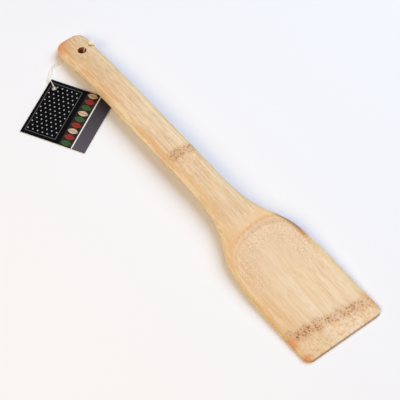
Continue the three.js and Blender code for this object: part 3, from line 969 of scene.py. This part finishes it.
# Print on the tag, millimetres from its left edge and its foot
PRINT_SOFTNESS = 0.2
LEAF_BAND_LEFT = 28.5
LEAF_BAND_RIGHT = 37.7
LEAF_MIDDLE = 33.0
LEAF_HALF_LENGTH = 4.0
LEAF_PITCH = 5.33
LEAF_FULLNESS = 0.42
LEAF_OUTLINE = (0.0, 0.03)
RULE_PLACE = 38.2
RULE_HALF_WIDTH = 0.5
RULE_SOFTNESS = 0.15
FRAME_MIDDLE = (13.6, 24.0)
FRAME_HALF = (11.6, 21.8)
FRAME_LINE = 0.4
FRAME_STRENGTH = 0.4
DOT_PITCH = 3.6
DOT_ROW_PITCH = 3.2
PRINTED_SIDE = (0.02, 0.06)
CARD_GRAIN = ((3.0, 3.0, 3.0), 3.0, 0.5)

# Inks, with tints by the leaf's number in three, distance from its vein and squared distance from a dot
PANEL_BLACK = srgb(7, 7, 8)
PANEL_GREY_LOW = srgb(92, 86, 95)
PANEL_GREY_HIGH = srgb(54, 51, 56)
BAND_BROWN = srgb(46, 40, 32)
LEAF_GREEN = srgb(62, 92, 52)
LEAF_RED = srgb(150, 52, 46)
LEAF_PALE = (srgb(206, 176, 150), 1.0, (1.4, 1.6))
LEAF_VEIN = (srgb(60, 54, 36), 0.6, (0.06, 0.03))
RULE_WHITE = srgb(232, 230, 230)
FRAME_GREY = srgb(150, 148, 146)
DOT_WHITE = (srgb(214, 211, 206), 0.6, (0.36, 0.2))
PAPER_LIGHT = srgb(168, 162, 152)
PAPER_DARK = srgb(150, 145, 136)


def card_mesh():
    """Card with a punched hole: a closed loop of rings, from the front's outline in to the hole, through it,
    out to the back's outline and round the edge."""
    side = np.linspace(0, 1, TAG_SIDE_STEPS, endpoint=False)
    zero = np.zeros_like(side)
    u = np.concatenate([side, zero + 1, 1 - side, zero]) * TAG_WIDTH
    v = np.concatenate([zero, side, zero + 1, 1 - side]) * TAG_HEIGHT
    outline = np.column_stack([u - TAG_HOLE_FROM_LEFT, v - TAG_HEIGHT + TAG_HOLE_FROM_TOP])
    away = outline / np.linalg.norm(outline, axis=1, keepdims=True)
    hole = away * TAG_HOLE_RADIUS
    spans = [outline * (1 - share) + hole * share for share in TAG_RING_SHARES]
    front = [np.column_stack([span, np.full(len(span), TAG_THICKNESS)]) for span in spans]
    back = [np.column_stack([span, np.zeros(len(span))]) for span in spans[::-1]]
    flat = np.concatenate([*front, *back])
    count = len(outline)
    faces = ring_faces(2 * len(spans), count, closed=True)[:, ::-1]
    printed = np.repeat([1.0, 0.0], len(spans) * count)
    values = np.column_stack([
        flat[:, 0] + TAG_HOLE_FROM_LEFT, flat[:, 1] + TAG_HEIGHT - TAG_HOLE_FROM_TOP, printed,
    ])
    lean = math.asin((TAG_HOLE_PLACE[2] - TAG_LOW_EDGE) / (TAG_HEIGHT - TAG_HOLE_FROM_TOP))
    up = np.array([-math.sin(TAG_TURN) * math.cos(lean), math.cos(TAG_TURN) * math.cos(lean), math.sin(lean)])
    right = np.array([math.cos(TAG_TURN), math.sin(TAG_TURN), 0])
    axes = np.stack([right, up, np.cross(right, up)])
    return flat @ axes + TAG_HOLE_PLACE, faces.tolist(), values


def card_finish():
    """Printed card with a bare back: a black panel with a thin frame round rows of dots, a band of plain
    leaves, a pale rule and a grey panel."""
    card = Finish("printed_card")
    u, v, printed = card.attribute("card")
    grain = card.noise(card.place(), *CARD_GRAIN)

    # Panels
    grey = card.mix(v / TAG_HEIGHT, PANEL_GREY_LOW, PANEL_GREY_HIGH)
    colour = card.mix(u.step(LEAF_BAND_RIGHT - PRINT_SOFTNESS, LEAF_BAND_RIGHT), PANEL_BLACK, grey)

    # Leaves, one to a cell of the band, each between two arcs
    cell = v / LEAF_PITCH
    leaf = (cell % 1.0) - 0.5
    reach = (u - LEAF_MIDDLE) / LEAF_HALF_LENGTH
    lens = (1.0 - reach * reach) * LEAF_FULLNESS - abs(leaf)
    number = cell.floor()
    leaf_colour = card.mix(number % 2.0, LEAF_GREEN, LEAF_RED)
    leaf_colour = card.tint(leaf_colour, number % 3.0, LEAF_PALE)
    leaf_colour = card.tint(leaf_colour, abs(leaf), LEAF_VEIN)
    from_left = u.step(LEAF_BAND_LEFT, LEAF_BAND_LEFT + PRINT_SOFTNESS)
    band = from_left * u.step(LEAF_BAND_RIGHT, LEAF_BAND_RIGHT - PRINT_SOFTNESS)
    colour = card.mix(band, colour, BAND_BROWN)
    colour = card.mix(band * lens.step(*LEAF_OUTLINE), colour, leaf_colour)
    rule = abs(u - RULE_PLACE).step(RULE_HALF_WIDTH, RULE_HALF_WIDTH - RULE_SOFTNESS)
    colour = card.mix(rule, colour, RULE_WHITE)

    # Frame, and staggered rows of dots within it
    frame_u = abs(u - FRAME_MIDDLE[0])
    frame_v = abs(v - FRAME_MIDDLE[1])

    def framed(inset):
        half_u, half_v = FRAME_HALF[0] - inset, FRAME_HALF[1] - inset
        return frame_u.step(half_u, half_u - PRINT_SOFTNESS) * frame_v.step(half_v, half_v - PRINT_SOFTNESS)

    within = framed(FRAME_LINE)
    colour = card.mix((framed(0.0) - within) * FRAME_STRENGTH, colour, FRAME_GREY)
    line = v / DOT_ROW_PITCH
    dot_u = (u + (line.floor() % 2.0) * (DOT_PITCH / 2)) % DOT_PITCH - DOT_PITCH / 2
    dot_v = (line % 1.0) * DOT_ROW_PITCH - DOT_ROW_PITCH / 2
    colour = card.tint(colour, dot_u * dot_u + dot_v * dot_v, DOT_WHITE, within)

    paper = card.mix(grain, PAPER_LIGHT, PAPER_DARK)
    colour = card.mix(printed.step(*PRINTED_SIDE), paper, colour)
    return card.surface(
        Base_Color=colour,
        Roughness=0.36 + grain * 0.12,
        Normal=card.bump(grain, strength=0.06, distance=0.0001),
        Specular_IOR_Level=0.06,
    )


# Floor and light

# Floor: half its side and its drop in metres, its fade in millimetres along a direction
FLOOR_HALF = 3.0
FLOOR_DROP = 0.00005
FLOOR_FADE = 260.0
FLOOR_FADE_X = 0.992
FLOOR_FADE_Y = 0.127
FLOOR_LEFT = srgb(249, 247, 249)
FLOOR_RIGHT = srgb(243, 243, 247)

# Lamps: azimuth and elevation in degrees, size in metres, power in watts, colour
LAMP_DISTANCE = 1.6
COOL_LAMP = (97, 53, 1.6, 24.4, (0.8, 0.93, 1.0))
WARM_LAMP = (-83, 42, 1.0, 15.2, (1.0, 0.833, 0.39))
ROOM_COLOUR = (0.6, 0.52, 1.0, 1.0)
ROOM_STRENGTH = 0.24


def add_floor():
    """Pale table, painted a little darker and cooler towards the right, where the cool lamp stands: painted
    light.
    """
    pale = Finish("pale_table")
    x, y, z = pale.place()
    # Painted light: the floor's colour shifts cooler and a little darker towards the right
    slope = (x * FLOOR_FADE_X + y * FLOOR_FADE_Y).step(-FLOOR_FADE, FLOOR_FADE)
    colour = pale.mix(slope, FLOOR_LEFT, FLOOR_RIGHT)
    pale.surface(Base_Color=colour, Roughness=0.8, Specular_IOR_Level=0.1)
    h, d = FLOOR_HALF, FLOOR_DROP
    mesh = bpy.data.meshes.new("table_top")
    mesh.from_pydata([(-h, -h, -d), (h, -h, -d), (h, h, -d), (-h, h, -d)], [], [(0, 1, 2, 3)])
    mesh.materials.append(pale.material)
    floor = bpy.data.objects.new("table_top", mesh)
    bpy.context.scene.collection.objects.link(floor)


def add_lamp(name, azimuth, elevation, size, power, colour):
    """Disk lamp aimed at the origin."""
    lamp = bpy.data.lights.new(name, "AREA")
    lamp.shape = "DISK"
    lamp.size = size
    lamp.energy = power
    lamp.color = colour
    holder = bpy.data.objects.new(name, lamp)
    bpy.context.scene.collection.objects.link(holder)
    back = towards(math.radians(azimuth), math.radians(elevation))
    holder.location = back * LAMP_DISTANCE
    holder.rotation_mode = "QUATERNION"
    holder.rotation_quaternion = (-back).to_track_quat("-Z", "Y")


def add_light():
    """Soft room light, a cool lamp on the right and a warm one on the left."""
    world = bpy.data.worlds.new("soft_room")
    bpy.context.scene.world = world
    world.use_nodes = True
    background = world.node_tree.nodes["Background"]
    background.inputs["Color"].default_value = ROOM_COLOUR
    background.inputs["Strength"].default_value = ROOM_STRENGTH
    add_lamp("cool_lamp", *COOL_LAMP)
    add_lamp("warm_lamp", *WARM_LAMP)


# Putting it together

add_camera()
cotton = cotton_finish()
string, string_path, string_length = add_string(cotton)
knot = add_knot(cotton)
tag_points, tag_faces, tag_values = card_mesh()
tag = add_piece(
    "printed_tag", tag_points, tag_faces, card_finish(), "tag", "hang_tag", "card", card=tag_values
)
body_points, body_faces, body_values = spatula_mesh()
add_piece(
    "bamboo_lath", body_points, body_faces, bamboo_finish(), "spatula", "spatula_body", "bamboo",
    lath=body_values,
)
add_floor()
add_light()
bpy.context.scene.view_settings.view_transform = "Standard"
